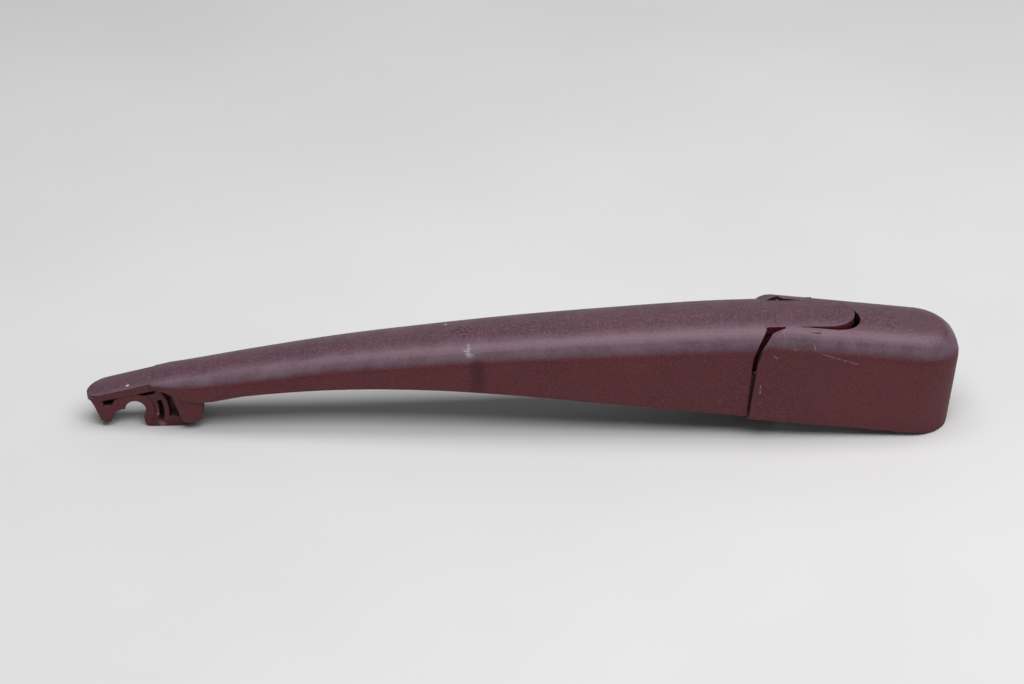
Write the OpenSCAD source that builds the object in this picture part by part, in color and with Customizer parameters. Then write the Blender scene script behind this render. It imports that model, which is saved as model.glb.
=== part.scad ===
// Rear window wiper arm: a moulded arm on a die cast mounting head,
// pulled onto the glass by a tension spring, with a hinged cover over the spindle nut.
// Origin: middle of the spindle hole, in the face that the nut seats on.
// +Z runs along the spindle away from the glass. The arm reaches towards -X.

/* [Arm] */
// Distance from the hinge pin to the middle of the blade pin socket
hook_reach = 217.8; // [214:0.2:221]
// Drop from the hinge pin to the middle of the blade pin socket, in the arm's own frame
hook_drop = 19.3; // [19:0.1:19.6]
// Slope of the arm's own frame against the nut seat, in degrees
arm_slope = 7.3; // [6.8:0.1:7.8]
// Wall of the moulded channel
arm_wall = 2.3; // [1.8:0.1:2.8]
// Thickness of the cross ribs inside the channel
rib_t = 1.5; // [1:0.1:2.2]
// Distance between cross ribs
rib_pitch = 16; // [13:0.5:20]
// Length of the tongue behind the hinge pin
tongue_reach = 20.1; // [18.5:0.1:20.6]
// Width of the tongue
tongue_w = 17.8; // [16.8:0.1:18.2]
// Thickness of the tongue
tongue_t = 2.6; // [2:0.1:3]

/* [Blade socket] */
// Diameter of the blade pin socket
socket_d = 7.1; // [6.6:0.1:7.6]
// Wall of the socket ring
socket_wall = 2.4; // [2:0.1:2.6]
// Width of the hook block across the arm
hook_w = 11; // [10:0.1:11.4]
// Width of the roof over the hook
tip_w = 12; // [11.6:0.1:12.6]
// Thickness of the roof over the hook
tip_t = 2; // [1.6:0.1:2.2]

/* [Cover] */
// Width of the cover at the hinge pin
cover_w = 34.6; // [34:0.1:35.2]
// Width of the cover at the spindle
cover_rear_w = 33; // [32.4:0.1:33.6]
// Distance from the spindle to the rear end of the rim
cover_rear = 17; // [16:0.1:18]
// Wall of the cover
cover_wall = 2.3; // [1.8:0.1:2.6]
// Radius of the rear corners seen from above
cover_corner_r = 14.5; // [12:0.5:15.5]
// Radius of the rounded upper edge
cover_edge_r = 8; // [6.5:0.1:8.6]
// Height of the cover above the nut seat, at the spindle
cover_top = 16.6; // [16.2:0.1:17]
// Height of the rim below the underside of the hub
rim_drop = 0.8; // [0.5:0.1:1.6]
// Gap between the sides of the tongue and its notch in the cover
notch_gap = 0.35; // [0.3:0.05:0.5]
// Gap between the end of the tongue and the end of its notch
notch_end_gap = 2; // [1.5:0.1:2.6]

/* [Head] */
// Height of the hub from its underside to the nut seat
hub_h = 15; // [14:0.1:15.6]
// Diameter of the hub
hub_d = 21; // [19.5:0.1:21.4]
// Diameter of the nut seat
seat_d = 17; // [15:0.1:18]
// Diameter of the spindle hole above the taper
bore_d = 8.3; // [8.2:0.05:8.6]
// Length of the spindle hole above the taper
bore_len = 6; // [5:0.1:7]
// Diameter of the taper at the underside of the hub
taper_d = 11.6; // [11:0.1:12.4]
// Distance from the spindle to the hinge pin
pivot_reach = 39; // [38.6:0.1:39.4]
// Height of the hinge pin above the nut seat
pivot_rise = 4.4; // [4.2:0.1:4.6]
// Width of the hinge barrel of the head
barrel_w = 10.8; // [10.4:0.1:11]
// Diameter of the hinge barrel
barrel_d = 13.6; // [12.6:0.1:14]
// Side clearance of the spring link in its slot
slot_gap = 0.4; // [0.3:0.05:0.6]

/* [Pins and spring] */
// Diameter of the hinge pin
pin_d = 5; // [4.6:0.1:5.2]
// Length of the hinge pin
pin_len = 24.4; // [24:0.1:25]
// Outer diameter of the hinge bushes
bush_d = 7.8; // [7.2:0.1:8.2]
// Thickness of the bush flange
bush_flange = 0.6; // [0.5:0.05:0.7]
// Diameter of the link pin and of the spring pin
small_pin_d = 3; // [2.6:0.1:3.2]
// Distance of the link pin below the hinge pin
link_drop = 8; // [7.8:0.1:8.4]
// Distance of the link pin behind the hinge pin
link_back = 3; // [2.8:0.1:3.2]
// Length of the spring link from its pin to its eye
link_len = 20; // [19.6:0.1:21]
// Thickness of the stamped link
link_t = 2.5; // [2:0.1:2.8]
// Width of metal round the link's hook
link_ring = 2.5; // [2.2:0.1:2.7]
// Distance from the hinge pin to the spring pin
spring_reach = 75; // [74:0.5:78]
// Outer diameter of the spring
spring_d = 9.2; // [8.6:0.1:9.6]
// Diameter of the spring wire
wire_d = 1.4; // [1.2:0.1:1.5]
// Number of turns in the spring's body
spring_turns = 19; // [16:1:21]

/* [Fits] */
// Radial clearance of a pin that turns in a bore
running_gap = 0.05; // [0.03:0.01:0.08]
// Side clearance between parts that move past each other
side_gap = 0.2; // [0.15:0.01:0.3]

/* [Hidden] */

plastic = [0.14, 0.11, 0.11];
casting = [0.55, 0.55, 0.56];
steel = [0.62, 0.62, 0.64];
zinc = [0.72, 0.7, 0.64];
nylon = [0.85, 0.83, 0.76];

bore_fn = 48;
sweep_fn = 8;
overlap = 0.4;
far = 60;

// The channel runs from just past the blade pin socket to the cover. Its first stations
// keep their distance from the socket, the last ones from the hinge pin, and three more
// share the length between them.
near_tip = 37.8;
near_pivot = 60;
station_pitch = (hook_reach - near_tip - near_pivot) / 4;
function from_tip(distance) = -hook_reach + distance;
function from_pivot(k) = -near_pivot - k * station_pitch;

// The channel's outline in the arm's own frame: distance from the hinge pin, full width,
// height of the top and of the lower edge over the line from the hinge pin to the socket,
// and shoulder radius.
ARM = [
    [from_tip(5.8), 13.6, 10, 8.9, 1],
    [from_tip(8.3), 15.6, 10.3, 8.7, 1.4],
    [from_tip(10.8), 16.8, 10.5, 7.3, 2.4],
    [from_tip(12.8), 17.6, 10.7, 5.7, 3.2],
    [from_tip(17.8), 18.7, 11.2, 3.8, 4.2],
    [from_tip(23.8), 19.7, 11.7, 3, 4.7],
    [from_tip(near_tip), 21.2, 12.8, 4.6, 5.2],
    [from_pivot(3), 23.6, 14.6, 4.6, 5.8],
    [from_pivot(2), 26.4, 15, 2.2, 6.3],
    [from_pivot(1), 29, 14.9, -2.3, 6.8],
    [from_pivot(0), 31, 14.2, -8, 7.3],
    [-30, 32.5, 13.3, -13.8, 7.9],
    [-8, 32.8, 11.9, -18.4, 8]
];
arm_first = ARM[0][0];
arm_last = ARM[len(ARM) - 1][0];
arm_steps = 40;
shoulder_steps = 6;

// Cross ribs, from the one nearest the hook
rib_first = from_tip(27.8);
rib_count = 7;
rib_depth = 2.2;
rib_growth = 0.35;

// The arm's rear end: the tongue's top, the curved edge round the hinge pin and its foot
arm_top = 11.2;
roof_under = arm_top - tongue_t;
edge_r = 14.6;
edge_foot = [-15.9, -22];
tongue_root = -sqrt(edge_r * edge_r - arm_top * arm_top) - 0.4;
root_fillet = 1.2;
cheek_in = barrel_w / 2 + 2 * side_gap + bush_flange;
cheek_t = tongue_w / 2 - 0.4 - cheek_in;
cheek_r = bush_d / 2 + 2.7;

// The cover's form: rim, curved front edge with its foot, draft and slope of the roof
rim_z = -hub_h - rim_drop;
cover_edge = 13.2;
cover_edge_top = 12.3;
cover_foot = [-15.5, -21];
rim_end = cover_foot[0] - 0.6;
cover_lean = -1.5;
cover_front = -62;
cover_slope = 0.02;
corner_steps = 10;
edge_steps = 6;
rim_corner_r = 2;

// The blade hook: its ring, the slope and height of the roof over it and the roof's end
ring_r = socket_d / 2 + socket_wall;
tip_slope = 0.245;
tip_roof = ring_r + tip_t + 0.95;
tip_end = -16.6;
recess_depth = 3.4;
slot_in = ring_r + 1.95;
slot_out = slot_in + 1.8;

// Posts for the spring pin
post_in = spring_d / 2 + 0.9;
post_t = 2.4;
spring_pin_len = 2 * (post_in + post_t) + 0.2;

// Places of the link pin and the spring pin from the hinge pin, in the arm's frame
link_pin_at = [link_back, -link_drop];
spring_at = [-spring_reach, -link_drop];
link_x = -pivot_reach + link_back * cos(arm_slope) + link_drop * sin(arm_slope);
link_z = pivot_rise + link_back * sin(arm_slope) - link_drop * cos(arm_slope);
slot_w = link_t + 2 * slot_gap;
link_hook_in = small_pin_d / 2 + running_gap + 0.03;
link_hook_out = link_hook_in + link_ring;
eye_at = link_pin_at[0] - link_len;
eye_in = wire_d / 2 + 1;
eye_out = eye_in + 1.8;

// The spring's coil and hooks
coil_r = (spring_d - wire_d) / 2;
coil_pitch = wire_d + 0.5;
coil_start = spring_at[0] + 13;
coil_end = coil_start + spring_turns * coil_pitch;
front_hook_r = (small_pin_d + wire_d) / 2 + 0.1;
rear_hook_r = 3.2;
rear_hook_at = eye_at - 0.3;
turn_steps = 12;

// Cubic through a column of the station table, so that the outline runs smoothly.
function station(u, i = 0) = i >= len(ARM) - 2 || u < ARM[i + 1][0] ? i : station(u, i + 1);
function slope_at(i, k) =
    let(a = max(i - 1, 0), b = min(i + 1, len(ARM) - 1))
    (ARM[b][k] - ARM[a][k]) / (ARM[b][0] - ARM[a][0]);
function arm_at(u, k) =
    let(i = station(u), x0 = ARM[i][0], span = ARM[i + 1][0] - x0, s = (u - x0) / span)
    (1 + 2 * s) * pow(1 - s, 2) * ARM[i][k] + s * pow(1 - s, 2) * span * slope_at(i, k)
    + s * s * (3 - 2 * s) * ARM[i + 1][k] + s * s * (s - 1) * span * slope_at(i + 1, k);
function arm_width(u) = arm_at(u, 1);
function arm_height(u) = arm_at(u, 2) + hook_drop * u / hook_reach;
function arm_foot(u) = arm_at(u, 3) + hook_drop * u / hook_reach;

// One skin of the channel's section at a station, inset from the outer surface.
function skin(u, inset, foot) =
    let(half = arm_width(u) / 2 - inset, top = arm_height(u) - inset,
        r = max(arm_at(u, 4) - inset, 0.5), low = min(foot, top - r - 0.2))
    concat([[-half, low]],
           [for (j = [0 : shoulder_steps]) let(a = 180 - 90 * j / shoulder_steps)
               [-half + r + r * cos(a), top - r + r * sin(a)]],
           [for (j = [0 : shoulder_steps]) let(a = 90 - 90 * j / shoulder_steps)
               [half - r + r * cos(a), top - r + r * sin(a)]],
           [[half, low]]);
function reversed(list) = [for (i = [len(list) - 1 : -1 : 0]) list[i]];
function channel_ring(u) =
    let(foot = arm_foot(u), ring = concat(skin(u, 0, foot), reversed(skin(u, arm_wall, foot))))
    [for (p = ring) [u, p[0], p[1]]];

// Puts a child drawn in the arm's own frame onto the hinge pin.
module on_pivot() {
    translate([-pivot_reach, 0, pivot_rise])
        rotate([0, -arm_slope, 0])
            children();
}

// Turns a flat outline drawn in X and Z into a plate of the given width about Y = 0.
module plate_y(width) {
    rotate([90, 0, 0])
        linear_extrude(height = width, center = true)
            children();
}

// The same plate twice, from one distance to another on both sides of Y = 0.
module pair_y(near, thick) {
    for (side = [-1, 1])
        translate([0, side * (near + thick / 2), 0])
            plate_y(thick)
                children();
}

module pin_y(d, width) {
    rotate([90, 0, 0])
        cylinder(d = d, h = width, center = true, $fn = bore_fn);
}

module ring_y(d_out, d_in, width) {
    difference() {
        pin_y(d_out, width);
        pin_y(d_in, width + 2);
    }
}

// Closed skin over a list of rings with the same number of points, with faces for both ends.
module loft(rings, caps) {
    n = len(rings[0]);
    bands = [0 : len(rings) - 2];
    polyhedron(
        points = [for (ring = rings) for (p = ring) p],
        faces = concat(
            [for (k = bands) for (i = [0 : n - 1])
                [k * n + i, k * n + (i + 1) % n, (k + 1) * n + (i + 1) % n]],
            [for (k = bands) for (i = [0 : n - 1])
                [k * n + i, (k + 1) * n + (i + 1) % n, (k + 1) * n + i]],
            caps),
        convexity = 8);
}

// The plain end faces of a loft whose rings are convex outlines.
function end_faces(rings) =
    let(n = len(rings[0]), last = (len(rings) - 1) * n)
    [[for (i = [n - 1 : -1 : 0]) i], [for (i = [0 : n - 1]) last + i]];

module channel() {
    rings = [for (k = [0 : arm_steps]) channel_ring(arm_first + (arm_last - arm_first) * k / arm_steps)];
    n = len(rings[0]);
    last = arm_steps * n;
    strips = n / 2 - 2;
    loft(rings, concat(
        [for (i = [0 : strips]) [n - 1 - i, n - 2 - i, i + 1, i]],
        [for (i = [0 : strips]) [last + i, last + i + 1, last + n - 2 - i, last + n - 1 - i]]));
}

// The channel's inner section as a flat outline, for walls that grow into the shell.
module rib(u, thick, depth) {
    top = arm_height(u) - arm_wall;
    translate([u, 0, 0])
        rotate([90, 0, 90])
            linear_extrude(height = thick, center = true)
                polygon(skin(u, arm_wall - overlap, top - depth));
}

module cross_ribs() {
    for (k = [0 : rib_count - 1])
        rib(rib_first + k * rib_pitch, rib_t, rib_depth + rib_growth * k);
}

// Closed ends of the shoulders, curved about the hinge pin, so the cover can turn past them.
module shoulder_wall() {
    wall_in = edge_r + arm_wall;
    intersection() {
        rib(-wall_in / 2 - 5.5, wall_in - 3, wall_in + 6);
        difference() {
            pin_y(2 * wall_in, far);
            pin_y(2 * edge_r, far + 1);
            plate_y(far)
                polygon([[-far, -far], [far, -far], [far, 2 - edge_r], [-far, 2 - edge_r]]);
        }
    }
}

// All that lies behind the arm's rear edge, where the cover begins.
module behind_edge() {
    pin_y(2 * edge_r, far);
    plate_y(far)
        polygon([[-edge_r, 0], edge_foot, [far / 2, edge_foot[1]], [far / 2, far / 3], [-4, far / 3],
                 [-4, 0]]);
}

// Lips on the side walls that reach behind the cover's front edge and close the gap.
module side_lips() {
    lip_out = cover_w / 2 - cover_wall - 0.6;
    lip_t = 1.2;
    foot = edge_foot[1] + 3.4;
    difference() {
        union() {
            pair_y(lip_out - lip_t, lip_t)
                polygon([[edge_foot[0] - 1.6, foot + 0.3], [-8.6, foot - 0.8], [-7, -13], [-edge_r - 2, -6]]);
            pair_y(lip_out - lip_t, arm_wall + 0.6)
                polygon([[edge_foot[0] - 2.2, foot + 0.3], [edge_foot[0] - 0.4, foot + 0.2],
                         [-edge_r - 0.5, -6], [-edge_r - 2.2, -6]]);
        }
        pin_y(2 * (cover_edge + side_gap), far);
    }
}

// The tongue, the plate that roots it in the arm's roof, and fillets in the corners there.
module tongue() {
    r = tongue_w / 2;
    root_len = 4;
    translate([tongue_root - root_len, -r, roof_under])
        cube([root_len + 1, tongue_w, tongue_t - 0.3]);
    translate([0, 0, roof_under])
        linear_extrude(height = tongue_t) {
            translate([tongue_root, -r])
                square([tongue_reach - r - tongue_root, tongue_w]);
            translate([tongue_reach - r, 0])
                circle(r = r, $fn = 64);
        }
    for (side = [-1, 1])
        translate([tongue_root + root_fillet, side * (r + root_fillet), roof_under])
            linear_extrude(height = tongue_t)
                difference() {
                    translate([-root_fillet, min(0, -side * (root_fillet + overlap))])
                        square([root_fillet, root_fillet + overlap]);
                    circle(r = root_fillet, $fn = 32);
                }
}

// Side plates under the tongue that carry the hinge bushes.
module cheeks() {
    foot = cheek_r + 7.9;
    pair_y(cheek_in, cheek_t)
        union() {
            polygon([[-24, -7], [-5, -5], [cheek_r - 1, 0], [foot, roof_under], [foot, roof_under + 0.6],
                     [-24, roof_under + 0.6]]);
            circle(r = cheek_r, $fn = bore_fn);
        }
}

// Posts that hold the spring pin under the arm's roof.
module spring_posts() {
    roof = arm_height(spring_at[0]) - arm_wall + overlap - spring_at[1];
    post_r = small_pin_d / 2 + 2.2;
    pair_y(post_in, post_t)
        union() {
            polygon([[-post_r - 1.8, 0], [-3.4, -1.4], [3.4, -1.4], [post_r + 1.8, 0], [7, roof + 0.4],
                     [-7, roof - 1]]);
            circle(r = post_r, $fn = bore_fn);
        }
}

// The roof over the hook, drawn about the middle of the blade pin socket.
module tip_roof_plate() {
    r = tip_w / 2;
    tip_back = 10;
    top_at_end = tip_roof + tip_slope * (tip_end - 1);
    top_at_back = tip_roof + tip_slope * tip_back;
    intersection() {
        translate([tip_end + r, 0, -2])
            linear_extrude(height = 20) {
                circle(r = r, $fn = 48);
                translate([0, -r])
                    square([24, tip_w]);
            }
        plate_y(tip_w + 2)
            polygon([[tip_end - 1, top_at_end], [tip_back, top_at_back], [tip_back, top_at_back - tip_t - 1],
                     [tip_end - 1, top_at_end - tip_t]]);
    }
}

// The open ring that snaps over the blade pin, with its toe, shelf and lip.
module hook_outline() {
    difference() {
        polygon([[-14.8, 4.6], [-13.5, 1.6], [-11.7, -3.6], [-10.9, -4.4], [-9.6, -4.7], [-8.6, -4.3],
                 [-6.9, -1.2], [-6.4, -0.4], [-4.4, 0.5], [-1, 0], [2, -1.8], [2.7, -3], [2.8, -4.8],
                 [3.4, -5.8], [4.9, -6.3], [10, -6.2], [17.4, -5.6], [17.5, 6], [12, 9.8],
                 [0, tip_roof - tip_t / 2]]);
        circle(d = socket_d, $fn = bore_fn);
    }
}

// Crescent pocket behind the ring that lets it spring open.
module relief_slot() {
    intersection() {
        difference() {
            translate([-0.4, 0])
                circle(r = slot_out + 0.3, $fn = bore_fn);
            circle(r = slot_in, $fn = bore_fn);
        }
        polygon([[0, 0], [12, 5.6], [14, 0], [12, -6.8]]);
    }
}

// Shallow line round the ring, on the side of the relief pocket.
module ring_line() {
    intersection() {
        difference() {
            circle(r = ring_r + 0.9, $fn = bore_fn);
            circle(r = ring_r + 0.35, $fn = bore_fn);
        }
        polygon([[0, 0], [6, 9], [14, 0], [9, -8]]);
    }
}

// Hollows in the faces of the hook block, over the ring and behind the relief pocket.
module hook_recess() {
    brow = ring_r + 1.1;
    difference() {
        polygon([[-10.6, 1.6], [-5, 1.6], [0, 5.4], [3.5, 5.2], [7, 6.2], [7.4, tip_roof - 0.2],
                 [-3, tip_roof - tip_t - 0.8], [-10.6, 4.2]]);
        translate([-1.2, -0.6])
            circle(r = brow, $fn = bore_fn);
    }
    difference() {
        polygon([[9.4, -2.8], [14.6, -2.8], [14.9, 0], [14, 3], [12.6, 6.2], [12, 8.4], [8.6, 8],
                 [8.8, 4.4]]);
        circle(r = slot_out + 1.5, $fn = bore_fn);
    }
}

// Rounded bosses on both sides, between the hook block and the side walls.
module ears() {
    outline = [[12.6, 6.9], [14.2, 3.8], [15.1, 1.6], [15, -0.6], [15.3, -2.8], [16.8, -4.2], [18.6, -4],
               [20.4, -3.7], [22.2, -2.6], [22.8, -0.5], [23.2, 3.6], [23.4, 6.9]];
    inner = [[14.6, 6.9], [15.8, 3.6], [16.4, 1.4], [16.2, -1], [16.6, -2.4], [17.6, -3], [18.6, -3],
             [20, -2.6], [20.8, -1.8], [21, -0.4], [21.2, 3.6], [21.2, 6.9]];
    for (side = [-1, 1])
        hull() {
            translate([0, side * 6.4, 0])
                plate_y(1.8)
                    polygon(outline);
            translate([0, side * 8.5, 0])
                plate_y(0.4)
                    polygon(inner);
        }
}

module tip() {
    tip_roof_plate();
    difference() {
        plate_y(hook_w)
            hook_outline();
        pair_y(0.8, hook_w)
            relief_slot();
        pair_y(hook_w / 2 - 0.35, 1)
            ring_line();
        pair_y(hook_w / 2 - recess_depth, hook_w)
            hook_recess();
    }
    ears();
    plate_y(hook_w + 1.4)
        polygon([[15, 9], [15, -2.8], [17.4, -2.8], [17.4, 9]]);
}

module arm_shell() {
    color(plastic)
        on_pivot()
            difference() {
                union() {
                    difference() {
                        union() {
                            channel();
                            cross_ribs();
                        }
                        behind_edge();
                    }
                    shoulder_wall();
                    side_lips();
                    tongue();
                    cheeks();
                    translate([spring_at[0], 0, spring_at[1]])
                        spring_posts();
                    translate([-hook_reach, 0, -hook_drop])
                        tip();
                }
                translate([-26, -cheek_in, roof_under - far - 0.1])
                    cube([22, 2 * cheek_in, far]);
                pin_y(bush_d, far);
                translate([spring_at[0], 0, spring_at[1]])
                    pin_y(small_pin_d, spring_pin_len + 0.4);
            }
}

// Plan outline of the cover at one height, inset from the outer surface.
function cover_plan(inset, lean) =
    let(front = cover_w / 2 + 0.5 - inset, rear = cover_rear_w / 2 - inset,
        r = cover_corner_r - inset, cx = cover_rear + lean - cover_corner_r)
    concat([[cover_front + inset * 0.5, -front]],
           [for (j = [0 : corner_steps]) let(a = -90 + 90 * j / corner_steps)
               [cx + r * cos(a), -(rear - r) + r * sin(a)]],
           [for (j = [0 : corner_steps]) let(a = 90 * j / corner_steps)
               [cx + r * cos(a), rear - r + r * sin(a)]],
           [[cover_front + inset * 0.5, front]]);
function cover_height(x) = cover_top + cover_slope * x;
function cover_ring(wall, a) =
    let(r = cover_edge_r - wall, inset = cover_edge_r - r * cos(a), drop = cover_edge_r - r * sin(a))
    [for (p = cover_plan(inset, cover_lean * (1 - drop / 60))) [p[0], p[1], cover_height(p[0]) - drop]];
function rim_ring(wall) = [for (p = cover_plan(wall, 0)) [p[0], p[1], rim_z]];

module cover_body() {
    outer = [for (j = [edge_steps : -1 : 0]) cover_ring(0, 90 * j / edge_steps)];
    inner = [for (j = [0 : edge_steps]) cover_ring(cover_wall, 90 * j / edge_steps)];
    rings = concat(outer, [rim_ring(0), rim_ring(cover_wall)], inner);
    loft(rings, end_faces(rings));
}

// All that lies in front of the cover's curved front edge.
module before_edge() {
    curve = [for (a = [0 : 6 : 90]) [-cover_edge * cos(a), cover_edge_top * sin(a)]];
    kept = concat(curve, [[0, far], [far, far], [far, -far], [rim_end, -far], cover_foot]);
    difference() {
        translate([-far, -far / 2, -far / 2])
            cube([far + 4, far, far]);
        plate_y(far + 2)
            polygon(kept);
    }
}

// The notch that the tongue drops into, with rounded corners at its mouth.
module notch() {
    r = tongue_w / 2 + notch_gap;
    end = tongue_reach + notch_end_gap - r;
    mouth = -3.8;
    round_r = 1.8;
    cut_len = 8;
    translate([0, 0, 4])
        linear_extrude(height = 20) {
            translate([-30, -r])
                square([30 + end, 2 * r]);
            translate([end, 0])
                circle(r = r, $fn = 64);
        }
    for (side = [-1, 1])
        translate([mouth + round_r, side * (r + round_r), 4])
            linear_extrude(height = 20)
                difference() {
                    translate([-cut_len, min(0, -side * (round_r + 0.2))])
                        square([cut_len, round_r + 0.2]);
                    circle(r = round_r, $fn = 32);
                }
}

// Ribs under the cover's roof that clip over the ends of the hinge pin.
module cover_clips() {
    clip_r = pin_d / 2 + 2.6;
    clip_in = tongue_w / 2 + notch_gap + 0.2;
    mouth = pin_d * 0.43;
    roof = (cover_top - pivot_rise) / cos(arm_slope) - cover_wall + 0.6;
    pair_y(clip_in, pin_len / 2 - clip_in - 0.3)
        difference() {
            union() {
                circle(r = clip_r, $fn = bore_fn);
                polygon([[-clip_r + 0.6, 0], [clip_r, 0], [clip_r + 2.4, roof], [0.6 - clip_r, roof]]);
            }
            polygon([[-mouth, 0], [-mouth - 1.4, -clip_r - 1], [mouth + 1.4, -clip_r - 1], [mouth, 0]]);
        }
}

// Ribs on the side walls that keep the cover centred on the hub.
module hub_guides() {
    inner = cover_rear_w / 2 - cover_wall;
    near = hub_d / 2 + side_gap + 0.1;
    pair_y(near, inner + overlap - near)
        polygon([[-0.8, rim_z + 2], [0.8, rim_z + 2], [0.8, 4], [-0.8, 4]]);
}

module cover_cap() {
    color(plastic)
        difference() {
            union() {
                difference() {
                    cover_body();
                    on_pivot()
                        before_edge();
                    on_pivot()
                        notch();
                }
                on_pivot()
                    cover_clips();
                hub_guides();
            }
            on_pivot()
                pin_y(pin_d + 2 * (running_gap + 0.03), pin_len);
            translate([cover_rear - rim_corner_r, 0, rim_z + rim_corner_r])
                plate_y(far)
                    difference() {
                        translate([0, -rim_corner_r - 1])
                            square(rim_corner_r + 1);
                        circle(r = rim_corner_r, $fn = 64);
                    }
        }
}

module hub() {
    rotate_extrude($fn = 96)
        polygon([[0, -hub_h], [hub_d / 2 - 0.6, -hub_h], [hub_d / 2, -hub_h + 0.6], [hub_d / 2, -4.5],
                 [seat_d / 2 + 0.4, -0.6], [seat_d / 2, 0], [0, 0]]);
}

// Low neck under the tongue's path, rising to the barrel between the arm's cheeks.
module neck() {
    hinge_x = -pivot_reach;
    neck_w = 17.2;
    intersection() {
        plate_y(far)
            union() {
                polygon([[2, 2 - hub_h], [2, -5], [-10, -4.5], [-17.5, -3], [hinge_x + 7.5, pivot_rise + 2.4],
                         [hinge_x + 3, pivot_rise + 5.8], [hinge_x - 5, pivot_rise - 1.4],
                         [hinge_x - 0.2, pivot_rise - 11], [-32, 5 - hub_h], [-24, 2 - hub_h]]);
                translate([hinge_x, pivot_rise])
                    circle(d = barrel_d, $fn = bore_fn);
                translate([link_x, link_z])
                    circle(r = small_pin_d / 2 + 2.7, $fn = bore_fn);
            }
        translate([0, 0, -far / 2])
            linear_extrude(height = far)
                polygon([[-far, -barrel_w / 2], [-24, -barrel_w / 2], [-6, -neck_w / 2], [2, -neck_w / 2],
                         [2, neck_w / 2], [-6, neck_w / 2], [-24, barrel_w / 2], [-far, barrel_w / 2]]);
    }
}

module mounting_head() {
    taper_len = hub_h - bore_len;
    link_room = link_hook_out + 0.8;
    pocket_w = 6.4;
    color(casting)
        difference() {
            union() {
                hub();
                neck();
            }
            translate([0, 0, -hub_h - 1])
                cylinder(d = bore_d, h = hub_h + 2, $fn = bore_fn);
            translate([0, 0, -hub_h])
                rotate_extrude($fn = bore_fn)
                    polygon([[0, -1], [taper_d / 2 + 0.1, -1], [taper_d / 2, 0],
                             [bore_d / 2 + 0.7, taper_len], [0, taper_len]]);
            on_pivot()
                pin_y(pin_d, far);
            translate([link_x, 0, link_z]) {
                pin_y(small_pin_d, far);
                pin_y(2 * link_room, slot_w);
            }
            translate([link_x - 25, -slot_w / 2, -far / 2])
                cube([25 + link_hook_out - 0.5, slot_w, far]);
            translate([-25.5, -pocket_w / 2, -hub_h - 1])
                cube([13.5, pocket_w, hub_h - 6]);
        }
}

module hinge_pin() {
    color(steel)
        on_pivot()
            pin_y(pin_d, pin_len);
}

module bush(side) {
    color(nylon)
        on_pivot()
            translate([0, side * (cheek_in - bush_flange / 2), 0]) {
                ring_y(bush_d + 2.4, pin_d + 2 * running_gap, bush_flange);
                translate([0, side * (bush_flange / 2 + cheek_t / 2), 0])
                    ring_y(bush_d, pin_d + 2 * running_gap, cheek_t);
            }
}

module bush_near() {
    bush(-1);
}

module bush_far() {
    bush(1);
}

module link_pin() {
    color(steel)
        translate([link_x, 0, link_z])
            pin_y(small_pin_d, barrel_w);
}

module spring_pin() {
    color(steel)
        on_pivot()
            translate([spring_at[0], 0, spring_at[1]])
                pin_y(small_pin_d, spring_pin_len);
}

// Stamped steel link: a hook round the back of the link pin, a bow below the hinge pin and an eye.
module spring_link() {
    bow = 4;
    color(zinc)
        on_pivot()
            translate([link_pin_at[0], 0, link_pin_at[1]])
                difference() {
                    union() {
                        pin_y(2 * link_hook_out, link_t);
                        plate_y(link_t)
                            polygon([[0, 0.3 - link_hook_out], [-7, -bow], [-13, 0.4 - bow],
                                     [-link_len, 0.3 - eye_out], [-link_len, eye_out - 0.6], [-14, 0],
                                     [-9, link_ring - bow], [-4, link_ring - bow + 0.6], [0, 0]]);
                        translate([-link_len, 0, 0])
                            pin_y(2 * eye_out, link_t);
                    }
                    pin_y(2 * link_hook_in, link_t + 2);
                    plate_y(link_t + 2)
                        polygon([[0, 0.2], [0.8, 7], [-8, 7], [-8, 0.4], [-3.2, -0.6], [-1.2, -0.2]]);
                    translate([-link_len, 0, 0])
                        pin_y(2 * eye_in, link_t + 2);
                }
}

// Tension spring: a close coil with a hook over the spring pin, and a hook turned a
// quarter round that passes through the link's eye.
function coil_point(k) =
    let(a = 360 * k / turn_steps)
    [coil_start + coil_pitch * k / turn_steps, coil_r * sin(a), coil_r * cos(a)];
function front_hook() =
    [for (a = [210 : -30 : -60]) [spring_at[0] - front_hook_r * sin(a), 0, front_hook_r * cos(a)]];
function rear_hook() =
    [for (a = [140 : -20 : -140]) [rear_hook_at - rear_hook_r * (1 - cos(a)), rear_hook_r * sin(a), 0]];
function spring_path() =
    concat(front_hook(),
           [[spring_at[0] + 6, 0, front_hook_r + 0.2], [coil_start - 2.4, -0.6, coil_r * 0.8]],
           [for (k = [0 : turn_steps * spring_turns]) coil_point(k)],
           [[coil_end + 0.8, 1.5, coil_r * 0.8], [coil_end + 1.5, 2.2, coil_r * 0.36]],
           rear_hook());
function unit(v) = v / norm(v);
function tangent(path, i) = unit(path[min(i + 1, len(path) - 1)] - path[max(i - 1, 0)]);
// A direction across the wire, carried along the path without twisting.
function across(t, v) = unit(v - (v * t) * t);
function wire_ring(p, t, a) =
    let(b = cross(t, a))
    [for (j = [0 : sweep_fn - 1]) let(w = -360 * j / sweep_fn)
        p + wire_d / 2 * (cos(w) * a + sin(w) * b)];
function wire_rings(path) =
    [for (i = 0, a = [0, 1, 0]; i < len(path); i = i + 1, a = across(tangent(path, i), a))
        wire_ring(path[i], tangent(path, i), a)];

module tension_spring() {
    rings = wire_rings(spring_path());
    color(steel)
        on_pivot()
            translate([0, 0, spring_at[1]])
                loft(rings, end_faces(rings));
}

arm_shell();
cover_cap();
mounting_head();
hinge_pin();
bush_near();
bush_far();
link_pin();
spring_pin();
spring_link();
tension_spring();
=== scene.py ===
import math
import bpy
from mathutils import Matrix, Vector
from mathutils.bvhtree import BVHTree

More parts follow.
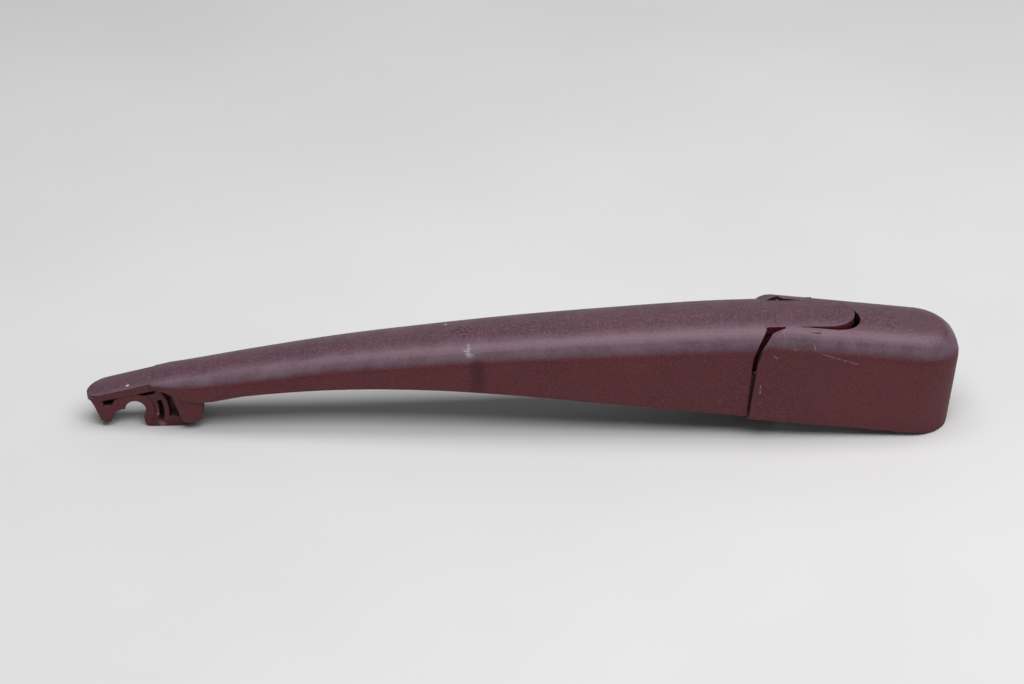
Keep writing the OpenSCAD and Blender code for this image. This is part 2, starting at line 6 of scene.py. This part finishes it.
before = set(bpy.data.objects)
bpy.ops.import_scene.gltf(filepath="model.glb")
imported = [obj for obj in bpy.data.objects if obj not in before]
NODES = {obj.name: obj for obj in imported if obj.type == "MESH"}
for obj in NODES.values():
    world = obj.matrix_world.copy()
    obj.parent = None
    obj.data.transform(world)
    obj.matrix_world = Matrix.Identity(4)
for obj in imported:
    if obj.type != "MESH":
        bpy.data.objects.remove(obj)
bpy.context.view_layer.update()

MM = 0.001

# The photograph's frame, and the camera in a level frame whose X runs along the arm,
# with the pose of the spindle in that frame.
IMAGE_W = 1024
IMAGE_H = 684
FOCAL_PX = 2121
SENSOR_MM = 36
CAMERA_ELEVATION = math.radians(30)
CAMERA_ROLL = math.radians(0.78)
CAMERA_DISTANCE = 700 * MM
CAMERA_TARGET = Vector((0, 0, 26.75)) * MM
HUB_TILT = math.radians(7.3)
HUB_FOOT_AT = Vector((128.5, 0, 0.766)) * MM
HUB_HEIGHT = 15 * MM

# Places of single marks, as pixels of the photograph: pits, the strokes of a scuff and the
# stain below it, flecks and worn spots on the arm, scratches and chipped spots on the cover,
# and a dark stroke in the seam between the two.
PITS_PX = ((451.3, 331), (453, 332.3), (455.5, 330), (458.3, 329.3), (460.3, 330.6), (459, 326.5),
           (467, 326), (469, 327.5), (462.5, 327.5), (465.5, 331.3), (467.5, 332.7), (471.3, 329.5),
           (461, 332.5), (457, 333.5), (464, 335.8), (464.5, 329.3))
SCUFF_PX = (((468.5, 344), (467.5, 350)), ((464.5, 351), (468, 351.5)), ((467.5, 350), (470.5, 357)),
            ((470, 348), (467, 357)), ((466, 354), (472.5, 355)))
STAIN_PX = ((477.5, 367.5), (478, 392))
FLECKS_PX = ((445.5, 324.5, 0.4), (127.4, 385.5, 0.7))
WORN_PX = ((162.5, 423.5, 1.2), (158.2, 414, 0.6), (160, 402.5, 0.6))
CAP_SCRATCHES_PX = (((822, 354), (846, 361), 0.24), ((846, 361), (858, 364.5), 0.2),
                    ((760.6, 386), (760.2, 393), 0.4), ((783.5, 331), (784.6, 337), 0.2),
                    ((774.5, 356), (777.5, 359), 0.2), ((814.5, 344), (815.5, 350), 0.25))
CAP_CHIPS_PX = ((778.5, 338, 0.35), (795.5, 350, 0.4), (773, 345.5, 0.3), (760, 403, 0.3))
SEAM_PX = ((785, 328.6), (806, 327.8))

# Radius of the gentle crown of the tops, which the solids have as flats between round shoulders,
# and the depth of a bump whose height is in metres
CROWN_MM = 30
METRE_MM = 1000

# Places along the row frame's X that the plastic's shading follows: the end of the tip, and one
# place near the tip and one near the hinge pin with half the width of the top there
TIP_END_X = -262 * MM
FRONT_X = -235 * MM
FRONT_HALF_WIDTH = 8.5 * MM
REAR_X = -30 * MM
REAR_HALF_WIDTH = 16.5 * MM

# What the part rests on: points of the tip lie before one X, points of the cover's rear behind
# the other, and the floor's slope lies between the limits
TIP_BEFORE_X = -200 * MM
REAR_BEHIND_X = -10 * MM
FLOOR_SLOPE_LIMITS = (math.radians(-5), math.radians(20))
FLOOR_SIZE = 6

# Strengths of the daylight on the part and of the backdrop that the camera sees
DAYLIGHT_STRENGTH = 0.2
BACKDROP_STRENGTH = 1.0

# Colours of the plastic and of the marks on it
# Tones of the top: the lit copy of the plastic, lighter and greyer as painted light from above
LIT_TOP_DARK = (0.052, 0.015, 0.022, 1)
LIT_TOP_MID = (0.069, 0.021, 0.031, 1)
LIT_TOP_GRAIN = (0.150, 0.088, 0.118, 1)
# Tones of the sides: the shaded copy of the plastic, darker and redder with a painted red bounce light
RED_BOUNCE_SIDE_DARK = (0.060, 0.006, 0.008, 1)
RED_BOUNCE_SIDE_MID = (0.073, 0.009, 0.011, 1)
RED_BOUNCE_SIDE_GRAIN = (0.116, 0.024, 0.028, 1)
# Tones of the inside: painted shade in the hollow and its recesses
SHADED_INNER = (0.026, 0.009, 0.010, 1)
SHADED_INNER_GRAIN = (0.050, 0.022, 0.025, 1)
# Painted sheen: pale grey painted on the shoulders where the light glances off
PAINTED_SHEEN = (0.125, 0.088, 0.112, 1)
WORN = (0.190, 0.120, 0.115, 1)
SHEEN_TINT = (1.0, 0.72, 0.80, 1)
DUST = (0.30, 0.25, 0.26, 1)
PIT = (0.010, 0.005, 0.006, 1)
STAIN = (0.034, 0.003, 0.004, 1)
SEAM_DARK = (0.012, 0.006, 0.007, 1)
SCUFF = (0.30, 0.27, 0.33, 1)
FLECK = (0.62, 0.58, 0.62, 1)


def level_to_row():
    """Matrix from the level frame of the photograph to the row frame."""
    turn = Matrix.Rotation(HUB_TILT, 4, "Y").inverted()
    to_hub = Matrix.Translation(-HUB_FOOT_AT)
    return Matrix.Translation((0, 0, -HUB_HEIGHT)) @ turn @ to_hub


def camera_matrix():
    up = Vector((0, math.sin(CAMERA_ELEVATION), math.cos(CAMERA_ELEVATION)))
    back = Vector((0, -math.cos(CAMERA_ELEVATION), math.sin(CAMERA_ELEVATION)))
    right = Vector((1, 0, 0))
    rolled_right = right * math.cos(CAMERA_ROLL) - up * math.sin(CAMERA_ROLL)
    rolled_up = up * math.cos(CAMERA_ROLL) + right * math.sin(CAMERA_ROLL)
    basis = Matrix((rolled_right, rolled_up, back)).transposed().to_4x4()
    place = Matrix.Translation(CAMERA_TARGET + back * CAMERA_DISTANCE)
    return level_to_row() @ place @ basis


def make_camera():
    data = bpy.data.cameras.new("camera")
    data.sensor_width = SENSOR_MM
    data.lens = FOCAL_PX / IMAGE_W * SENSOR_MM
    data.clip_start = 0.01
    data.clip_end = 20
    camera = bpy.data.objects.new("camera", data)
    camera.matrix_world = camera_matrix()
    bpy.context.scene.collection.objects.link(camera)
    bpy.context.scene.camera = camera


def seen_at(pixel, *nodes):
    """Point of the nearest of the nodes' surfaces that shows at a pixel of the photograph."""
    view = camera_matrix()
    aim = Vector((pixel[0] - IMAGE_W / 2, IMAGE_H / 2 - pixel[1], -FOCAL_PX)).normalized()
    start = view.translation
    aim = view.to_3x3() @ aim
    hits = []
    for node in nodes:
        mesh = NODES[node].data
        tree = BVHTree.FromPolygons([v.co for v in mesh.vertices], [p.vertices for p in mesh.polygons])
        point, _, _, distance = tree.ray_cast(start, aim)
        if point is not None:
            hits.append((distance, point))
    return min(hits, key=lambda hit: hit[0])[1]


class Look:
    """One procedural material: adds nodes and wires them to a Principled shader."""

    def __init__(self, name):
        self.material = bpy.data.materials.new(name)
        self.material.use_nodes = True
        self.tree = self.material.node_tree
        self.shader = self.tree.nodes["Principled BSDF"]
        coordinates = self.add("ShaderNodeTexCoord")
        self.place = coordinates.outputs["Object"]
        self.facing = coordinates.outputs["Normal"]

    def add(self, kind, values=None, **settings):
        node = self.tree.nodes.new(kind)
        for key, value in settings.items():
            setattr(node, key, value)
        for key, value in (values or {}).items():
            self.feed(node.inputs[key], value)
        return node

    def feed(self, socket, value):
        if isinstance(value, bpy.types.NodeSocket):
            self.tree.links.new(value, socket)
        else:
            socket.default_value = value

    def math(self, operation, a, b=0.0):
        return self.add("ShaderNodeMath", {0: a, 1: b}, operation=operation).outputs[0]

    def vector(self, operation, *values, output="Vector"):
        node = self.add("ShaderNodeVectorMath", dict(enumerate(values)), operation=operation)
        return node.outputs[output]

    def noise(self, grain_mm, detail=3.0, roughness=0.5, distortion=0.0, stretch=None):
        place = self.vector("MULTIPLY", self.place, stretch) if stretch else self.place
        values = {"Vector": place, "Scale": 1 / (grain_mm * MM), "Detail": detail,
                  "Roughness": roughness, "Distortion": distortion}
        return self.add("ShaderNodeTexNoise", values).outputs["Fac"]

    def cells(self, size_mm):
        values = {"Vector": self.place, "Scale": 1 / (size_mm * MM)}
        return self.add("ShaderNodeTexVoronoi", values, feature="F1").outputs["Distance"]

    def band(self, value, low, high, to_low=0.0, to_high=1.0):
        """Smooth ramp from to_low to to_high as the value goes from low to high."""
        node = self.add("ShaderNodeMapRange", {"Value": value, "From Min": low, "From Max": high,
                                               "To Min": to_low, "To Max": to_high},
                        interpolation_type="SMOOTHSTEP")
        return node.outputs["Result"]

    def part(self, vector, axis):
        return self.add("ShaderNodeSeparateXYZ", {0: vector}).outputs[axis]

    def mix(self, factor, a, b):
        """Colour a where the factor is 0, colour b where it is 1."""
        node = self.add("ShaderNodeMix", {0: factor}, data_type="RGBA")
        self.feed(node.inputs[6], a)
        self.feed(node.inputs[7], b)
        return node.outputs[2]

    def near_point(self, point, radii_mm):
        """1 at a point, fading to 0 on an ellipsoid of the given radii."""
        away = self.vector("SUBTRACT", self.place, point)
        away = self.vector("MULTIPLY", away, [1 / (radius * MM) for radius in radii_mm])
        return self.band(self.vector("LENGTH", away, output="Value"), 1.0, 0.35)

    def near_line(self, start, end, width_mm, waver=0.0):
        """1 on a straight stroke between two points, fading to 0 at its width."""
        run = end - start
        away = self.vector("SUBTRACT", self.place, start)
        along = self.vector("DOT_PRODUCT", away, run / run.length_squared, output="Value")
        along = self.add("ShaderNodeClamp", {0: along}).outputs[0]
        foot = self.vector("MULTIPLY", run, along)
        gap = self.vector("DISTANCE", away, foot, output="Value")
        return self.band(self.math("ADD", gap, waver), width_mm * MM, 0.3 * width_mm * MM)

    def rounded(self, radius_mm):
        """Normal that lets sharp edges catch the light as if they had a small radius."""
        return self.add("ShaderNodeBevel", {"Radius": radius_mm * MM}, samples=6).outputs["Normal"]

    def bump(self, height, depth_mm, strength=1.0, under=None):
        values = {"Height": height, "Distance": depth_mm * MM, "Strength": strength}
        if under is not None:
            values["Normal"] = under
        return self.add("ShaderNodeBump", values).outputs["Normal"]

    def finish(self, color, roughness, normal=None, metallic=0.0, specular=0.5):
        self.feed(self.shader.inputs["Base Color"], color)
        self.feed(self.shader.inputs["Roughness"], roughness)
        self.feed(self.shader.inputs["Metallic"], metallic)
        self.feed(self.shader.inputs["Specular IOR Level"], specular)
        if normal is not None:
            self.feed(self.shader.inputs["Normal"], normal)
        return self.material


def painted_sheen_band(look, up, along, across):
    """1 on the round shoulders of the top and on its slanted ends, where a pale sheen is painted."""
    leaning = look.band(up, 0.25, 0.6)
    ends = look.math("MULTIPLY", leaning, look.band(up, 0.97, 0.85))
    half_width = look.band(along, FRONT_X, REAR_X, FRONT_HALF_WIDTH, REAR_HALF_WIDTH)
    flanks = look.band(look.math("DIVIDE", look.math("ABSOLUTE", across), half_width), 0.12, 0.8)
    return look.math("MAXIMUM", ends, look.math("MULTIPLY", flanks, leaning))


def outer_side(look, along, across):
    """1 on faces that look away from the middle line or past the ends, 0 inside the hollow, which gets
    painted shade.
    """
    behind_spindle = look.math("MAXIMUM", along, 0.0)
    before_tip = look.math("MINIMUM", look.math("SUBTRACT", along, TIP_END_X), 0.0)
    past_ends = look.math("ADD", behind_spindle, before_tip)
    lengthwise = look.math("MULTIPLY", look.part(look.facing, "X"), past_ends)
    sideways = look.math("MULTIPLY", look.part(look.facing, "Y"), across)
    return look.band(look.math("ADD", lengthwise, sideways), 0, 2 * MM)


def weathered_plastic_painted_light(name, marks):
    """Fine grained black plastic gone brown, in lit and shaded copies: a lighter greyer top and a
    painted grey sheen on the shoulders, sides redder with a painted red bounce light, and painted shade
    inside.
    """
    look = Look(name)
    up = look.part(look.facing, "Z")
    # How far a face looks up picks the painted lit top tone over the painted side tone
    top = look.band(up, 0.2, 0.7)
    along = look.part(look.place, "X")
    across = look.part(look.place, "Y")
    shoulder = painted_sheen_band(look, up, along, across)
    outside = outer_side(look, along, across)
    broad = look.band(look.noise(38, 4, 0.55, 0.6), 0.35, 0.65)
    patch = look.noise(7, 4, 0.6)
    grain = look.noise(0.52, 3, 0.62)
    mottle = look.noise(1.3, 2, 0.5)
    # Side tone with painted shade inside the hollow, then the painted lit tone on the top
    side = look.mix(outside, SHADED_INNER, look.mix(broad, RED_BOUNCE_SIDE_DARK, RED_BOUNCE_SIDE_MID))
    color = look.mix(top, side, look.mix(broad, LIT_TOP_DARK, LIT_TOP_MID))
    # Painted sheen: pale grey painted in patches over the shoulders and flanks of the top
    sheen_amount = look.math("MULTIPLY", shoulder, look.band(patch, 0.3, 0.7, 0.45, 0.9))
    color = look.mix(sheen_amount, color, PAINTED_SHEEN)
    thick = look.band(mottle, 0.35, 0.65, 0.4, 0.85)
    specks = look.math("MULTIPLY", look.band(grain, 0.44, 0.64), thick)
    # Grain specks, tinted in the same lit, red bounce and shaded copies
    pale = look.mix(top, look.mix(outside, SHADED_INNER_GRAIN, RED_BOUNCE_SIDE_GRAIN), LIT_TOP_GRAIN)
    color = look.mix(specks, color, pale)
    motes = look.band(look.noise(0.5, 2, 0.7), 0.66, 0.74)
    dust = look.math("MULTIPLY", motes, look.band(patch, 0.4, 0.62))
    color = look.mix(look.math("MULTIPLY", dust, 0.35), color, DUST)
    rough = look.band(patch, 0.3, 0.7, 0.4, 0.5)
    rough = look.math("ADD", rough, look.band(grain, 0.35, 0.7, -0.05, 0.05))
    crown = look.math("MULTIPLY", look.math("MULTIPLY", across, across), -1 / (2 * CROWN_MM * MM))
    normal = look.bump(crown, METRE_MM, 1.0, look.rounded(0.35))
    normal = look.bump(grain, 0.09, 0.9, normal)
    normal = look.bump(look.noise(2.6, 3, 0.5), 0.05, 0.3, normal)
    color, rough, normal = marks(look, color, rough, normal)
    # A dark stroke along the seam between the arm and the cover
    seam_start, seam_end = [seen_at(pixel, "arm_shell", "cover_cap") for pixel in SEAM_PX]
    seam = look.near_line(seam_start, seam_end, 0.32)
    color = look.mix(look.math("MULTIPLY", seam, 0.9), color, SEAM_DARK)
    look.feed(look.shader.inputs["Specular Tint"], SHEEN_TINT)
    return look.finish(color, rough, normal)


def arm_marks(look, color, rough, normal):
    """Pits, a scuff and a stain half way along the arm, and flecks and worn spots."""
    ragged = look.noise(0.7, 3, 0.7)
    for pixel in PITS_PX:
        pit = look.near_point(seen_at(pixel, "arm_shell"), (0.52, 0.6, 0.52))
        pit = look.math("MULTIPLY", pit, look.band(ragged, 0.34, 0.5))
        color = look.mix(look.math("MULTIPLY", pit, 0.95), color, PIT)
        normal = look.bump(look.math("SUBTRACT", 1.0, pit), 0.15, 0.6, normal)
    top, foot = [seen_at(pixel, "arm_shell") for pixel in STAIN_PX]
    wavy = look.math("MULTIPLY", look.math("SUBTRACT", ragged, 0.5), 0.003)
    stain = look.near_line(top, foot, 3.6, wavy)
    color = look.mix(look.math("MULTIPLY", stain, 0.75), color, STAIN)
    rough = look.math("ADD", rough, look.math("MULTIPLY", stain, 0.1))
    for start, end in SCUFF_PX:
        stroke = look.near_line(seen_at(start, "arm_shell"), seen_at(end, "arm_shell"), 0.65)
        stroke = look.math("MULTIPLY", stroke, look.band(ragged, 0.38, 0.62, 0.1, 0.7))
        color = look.mix(stroke, color, SCUFF)
    for spots, tone in ((FLECKS_PX, FLECK), (WORN_PX, WORN)):
        for x, y, size in spots:
            spot = look.near_point(seen_at((x, y), "arm_shell"), (size * 1.3, size, size))
            spot = look.math("MULTIPLY", spot, look.band(ragged, 0.3, 0.5, 0.3, 0.9))
            color = look.mix(spot, color, tone)
    return color, rough, normal


def cap_marks(look, color, rough, normal):
    """The long thin scratch on the cover's side, short ones near it, and chipped spots."""
    ragged = look.noise(1.4, 2, 0.6)
    for start, end, width in CAP_SCRATCHES_PX:
        line = look.near_line(seen_at(start, "cover_cap"), seen_at(end, "cover_cap"), width)
        line = look.math("MULTIPLY", line, look.band(ragged, 0.35, 0.6, 0.12, 0.45))
        color = look.mix(line, color, SCUFF)
    for x, y, size in CAP_CHIPS_PX:
        spot = look.near_point(seen_at((x, y), "cover_cap"), (size, size, size))
        color = look.mix(look.math("MULTIPLY", spot, 0.4), color, SCUFF)
    return color, rough, normal


def cast_alloy():
    look = Look("blasted_casting")
    cloud = look.noise(9, 4, 0.6)
    grit = look.noise(0.5, 3, 0.6)
    color = look.mix(look.band(cloud, 0.35, 0.7), (0.36, 0.36, 0.37, 1), (0.50, 0.50, 0.51, 1))
    color = look.mix(look.band(look.noise(2.2, 4, 0.7), 0.6, 0.75, 0, 0.5), color, (0.20, 0.19, 0.19, 1))
    normal = look.bump(grit, 0.05, 0.8)
    return look.finish(color, look.band(cloud, 0.3, 0.7, 0.5, 0.62), normal, metallic=0.85)


def turned_steel(name, tint, roughness):
    look = Look(name)
    rings = look.noise(0.35, 2, 0.5, stretch=(0.15, 1, 0.15))
    cloud = look.noise(4, 3, 0.6)
    dark = [channel * 0.7 for channel in tint[:3]] + [1]
    color = look.mix(look.band(cloud, 0.4, 0.75, 0, 0.7), tint, dark)
    rough = look.band(rings, 0.3, 0.7, roughness - 0.05, roughness + 0.1)
    normal = look.bump(rings, 0.015, 0.6)
    return look.finish(color, rough, normal, metallic=1.0)


def zinc_plate():
    look = Look("zinc_plating")
    spangle = look.cells(1.6)
    cloud = look.noise(3, 4, 0.6)
    color = look.mix(look.band(cloud, 0.35, 0.7), (0.62, 0.60, 0.50, 1), (0.50, 0.49, 0.44, 1))
    color = look.mix(look.band(spangle, 0.2, 0.8, 0, 0.25), color, (0.70, 0.68, 0.60, 1))
    normal = look.bump(look.noise(0.3, 2, 0.6), 0.012, 0.6)
    return look.finish(color, look.band(cloud, 0.3, 0.7, 0.3, 0.42), normal, metallic=1.0)


def nylon():
    look = Look("natural_nylon")
    cloud = look.noise(2.4, 3, 0.6)
    color = look.mix(look.band(cloud, 0.35, 0.7), (0.74, 0.70, 0.60, 1), (0.80, 0.77, 0.69, 1))
    normal = look.bump(look.noise(0.25, 2, 0.6), 0.01, 0.5)
    return look.finish(color, look.band(cloud, 0.3, 0.7, 0.38, 0.48), normal)


def shading_group(angle_deg):
    """Geometry nodes that join the solid's faces and keep only its real edges sharp."""
    group = bpy.data.node_groups.new("smooth_faces", "GeometryNodeTree")
    group.interface.new_socket("Geometry", in_out="INPUT", socket_type="NodeSocketGeometry")
    group.interface.new_socket("Geometry", in_out="OUTPUT", socket_type="NodeSocketGeometry")
    nodes = group.nodes
    start = nodes.new("NodeGroupInput")
    end = nodes.new("NodeGroupOutput")
    bare = nodes.new("GeometryNodeRemoveAttribute")
    bare.inputs["Name"].default_value = "custom_normal"
    join = nodes.new("GeometryNodeMergeByDistance")
    join.inputs["Distance"].default_value = 0.002 * MM
    angle = nodes.new("GeometryNodeInputMeshEdgeAngle")
    flat = nodes.new("FunctionNodeCompare")
    flat.data_type = "FLOAT"
    flat.operation = "LESS_THAN"
    flat.inputs[1].default_value = math.radians(angle_deg)
    faces = nodes.new("GeometryNodeSetShadeSmooth")
    edges = nodes.new("GeometryNodeSetShadeSmooth")
    edges.domain = "EDGE"
    for a, b in ((start.outputs[0], bare.inputs[0]), (bare.outputs[0], join.inputs[0]),
                 (join.outputs[0], faces.inputs[0]), (faces.outputs[0], edges.inputs[0]),
                 (angle.outputs[0], flat.inputs[0]), (flat.outputs[0], edges.inputs["Shade Smooth"]),
                 (edges.outputs[0], end.inputs[0])):
        group.links.new(a, b)
    return group


def dress(node, material, smooth):
    obj = NODES[node]
    obj.data.materials.clear()
    obj.data.materials.append(material)
    modifier = obj.modifiers.new("smooth_faces", "NODES")
    modifier.node_group = smooth


def lowest(points, slope):
    """Height, square to a floor of that slope, of the lowest of the points."""
    return min(p.z * math.cos(slope) - p.x * math.sin(slope) for p in points)


def resting_floor():
    """Slope and height of the floor that the arm's tip and the cover's rear rest on."""
    points = [v.co for node in ("arm_shell", "cover_cap") for v in NODES[node].data.vertices]
    tip = [p for p in points if p.x < TIP_BEFORE_X]
    rear = [p for p in points if p.x > REAR_BEHIND_X]
    low, high = FLOOR_SLOPE_LIMITS
    for _ in range(40):
        slope = (low + high) / 2
        if lowest(tip, slope) > lowest(rear, slope):
            high = slope
        else:
            low = slope
    return slope, lowest(points, slope)


def make_floor():
    slope, height = resting_floor()
    bpy.ops.mesh.primitive_plane_add(size=FLOOR_SIZE)
    floor = bpy.context.object
    floor.name = "floor"
    floor.matrix_world = Matrix.Rotation(-slope, 4, "Y") @ Matrix.Translation((0, 0, height))
    look = Look("pale_floor")
    cloud = look.noise(160, 3, 0.5)
    color = look.mix(look.band(cloud, 0.3, 0.7), (0.60, 0.595, 0.59, 1), (0.63, 0.625, 0.62, 1))
    floor.data.materials.append(look.finish(color, 0.7, specular=0.2))


def make_world():
    world = bpy.data.worlds.new("studio")
    bpy.context.scene.world = world
    world.use_nodes = True
    nodes = world.node_tree.nodes
    links = world.node_tree.links
    shade = nodes["Background"]
    shade.inputs["Color"].default_value = (0.94, 0.96, 1.0, 1)
    shade.inputs["Strength"].default_value = DAYLIGHT_STRENGTH
    backdrop = nodes.new("ShaderNodeBackground")
    backdrop.inputs["Color"].default_value = (0.62, 0.62, 0.62, 1)
    backdrop.inputs["Strength"].default_value = BACKDROP_STRENGTH
    ray = nodes.new("ShaderNodeLightPath")
    pick = nodes.new("ShaderNodeMixShader")
    links.new(ray.outputs["Is Camera Ray"], pick.inputs[0])
    links.new(shade.outputs[0], pick.inputs[1])
    links.new(backdrop.outputs[0], pick.inputs[2])
    links.new(pick.outputs[0], nodes["World Output"].inputs["Surface"])


def make_lamp(name, place, size, power, target=(-0.11, 0, 0)):
    data = bpy.data.lights.new(name, "AREA")
    data.shape = "RECTANGLE"
    data.size, data.size_y = size
    data.energy = power
    lamp = bpy.data.objects.new(name, data)
    lamp.location = place
    lamp.rotation_euler = (Vector(target) - Vector(place)).to_track_quat("-Z", "Y").to_euler()
    bpy.context.scene.collection.objects.link(lamp)


def make_lights():
    make_world()
    make_lamp("overhead", (-0.12, 0.08, 1.0), (1.3, 0.5), 7)
    make_lamp("back", (-0.05, 0.9, 0.55), (1.4, 0.6), 1.0)
    make_lamp("front", (-0.04, -0.5, 0.95), (1.2, 0.5), 9)


bpy.context.scene.view_settings.view_transform = "Standard"
make_camera()
make_floor()
make_lights()

SMOOTH = shading_group(32)
dress("arm_shell", weathered_plastic_painted_light("arm_plastic_weathered_painted_light", arm_marks), SMOOTH)
dress("cover_cap", weathered_plastic_painted_light("cover_plastic_weathered_painted_light", cap_marks), SMOOTH)
dress("mounting_head", cast_alloy(), SMOOTH)
PIN_STEEL = turned_steel("turned_steel", (0.60, 0.60, 0.61, 1), 0.28)
for pin in ("hinge_pin", "link_pin", "spring_pin"):
    dress(pin, PIN_STEEL, SMOOTH)
NYLON = nylon()
for bush in ("bush_near", "bush_far"):
    dress(bush, NYLON, SMOOTH)
dress("spring_link", zinc_plate(), SMOOTH)
dress("tension_spring", turned_steel("spring_wire", (0.34, 0.34, 0.35, 1), 0.36), SMOOTH)
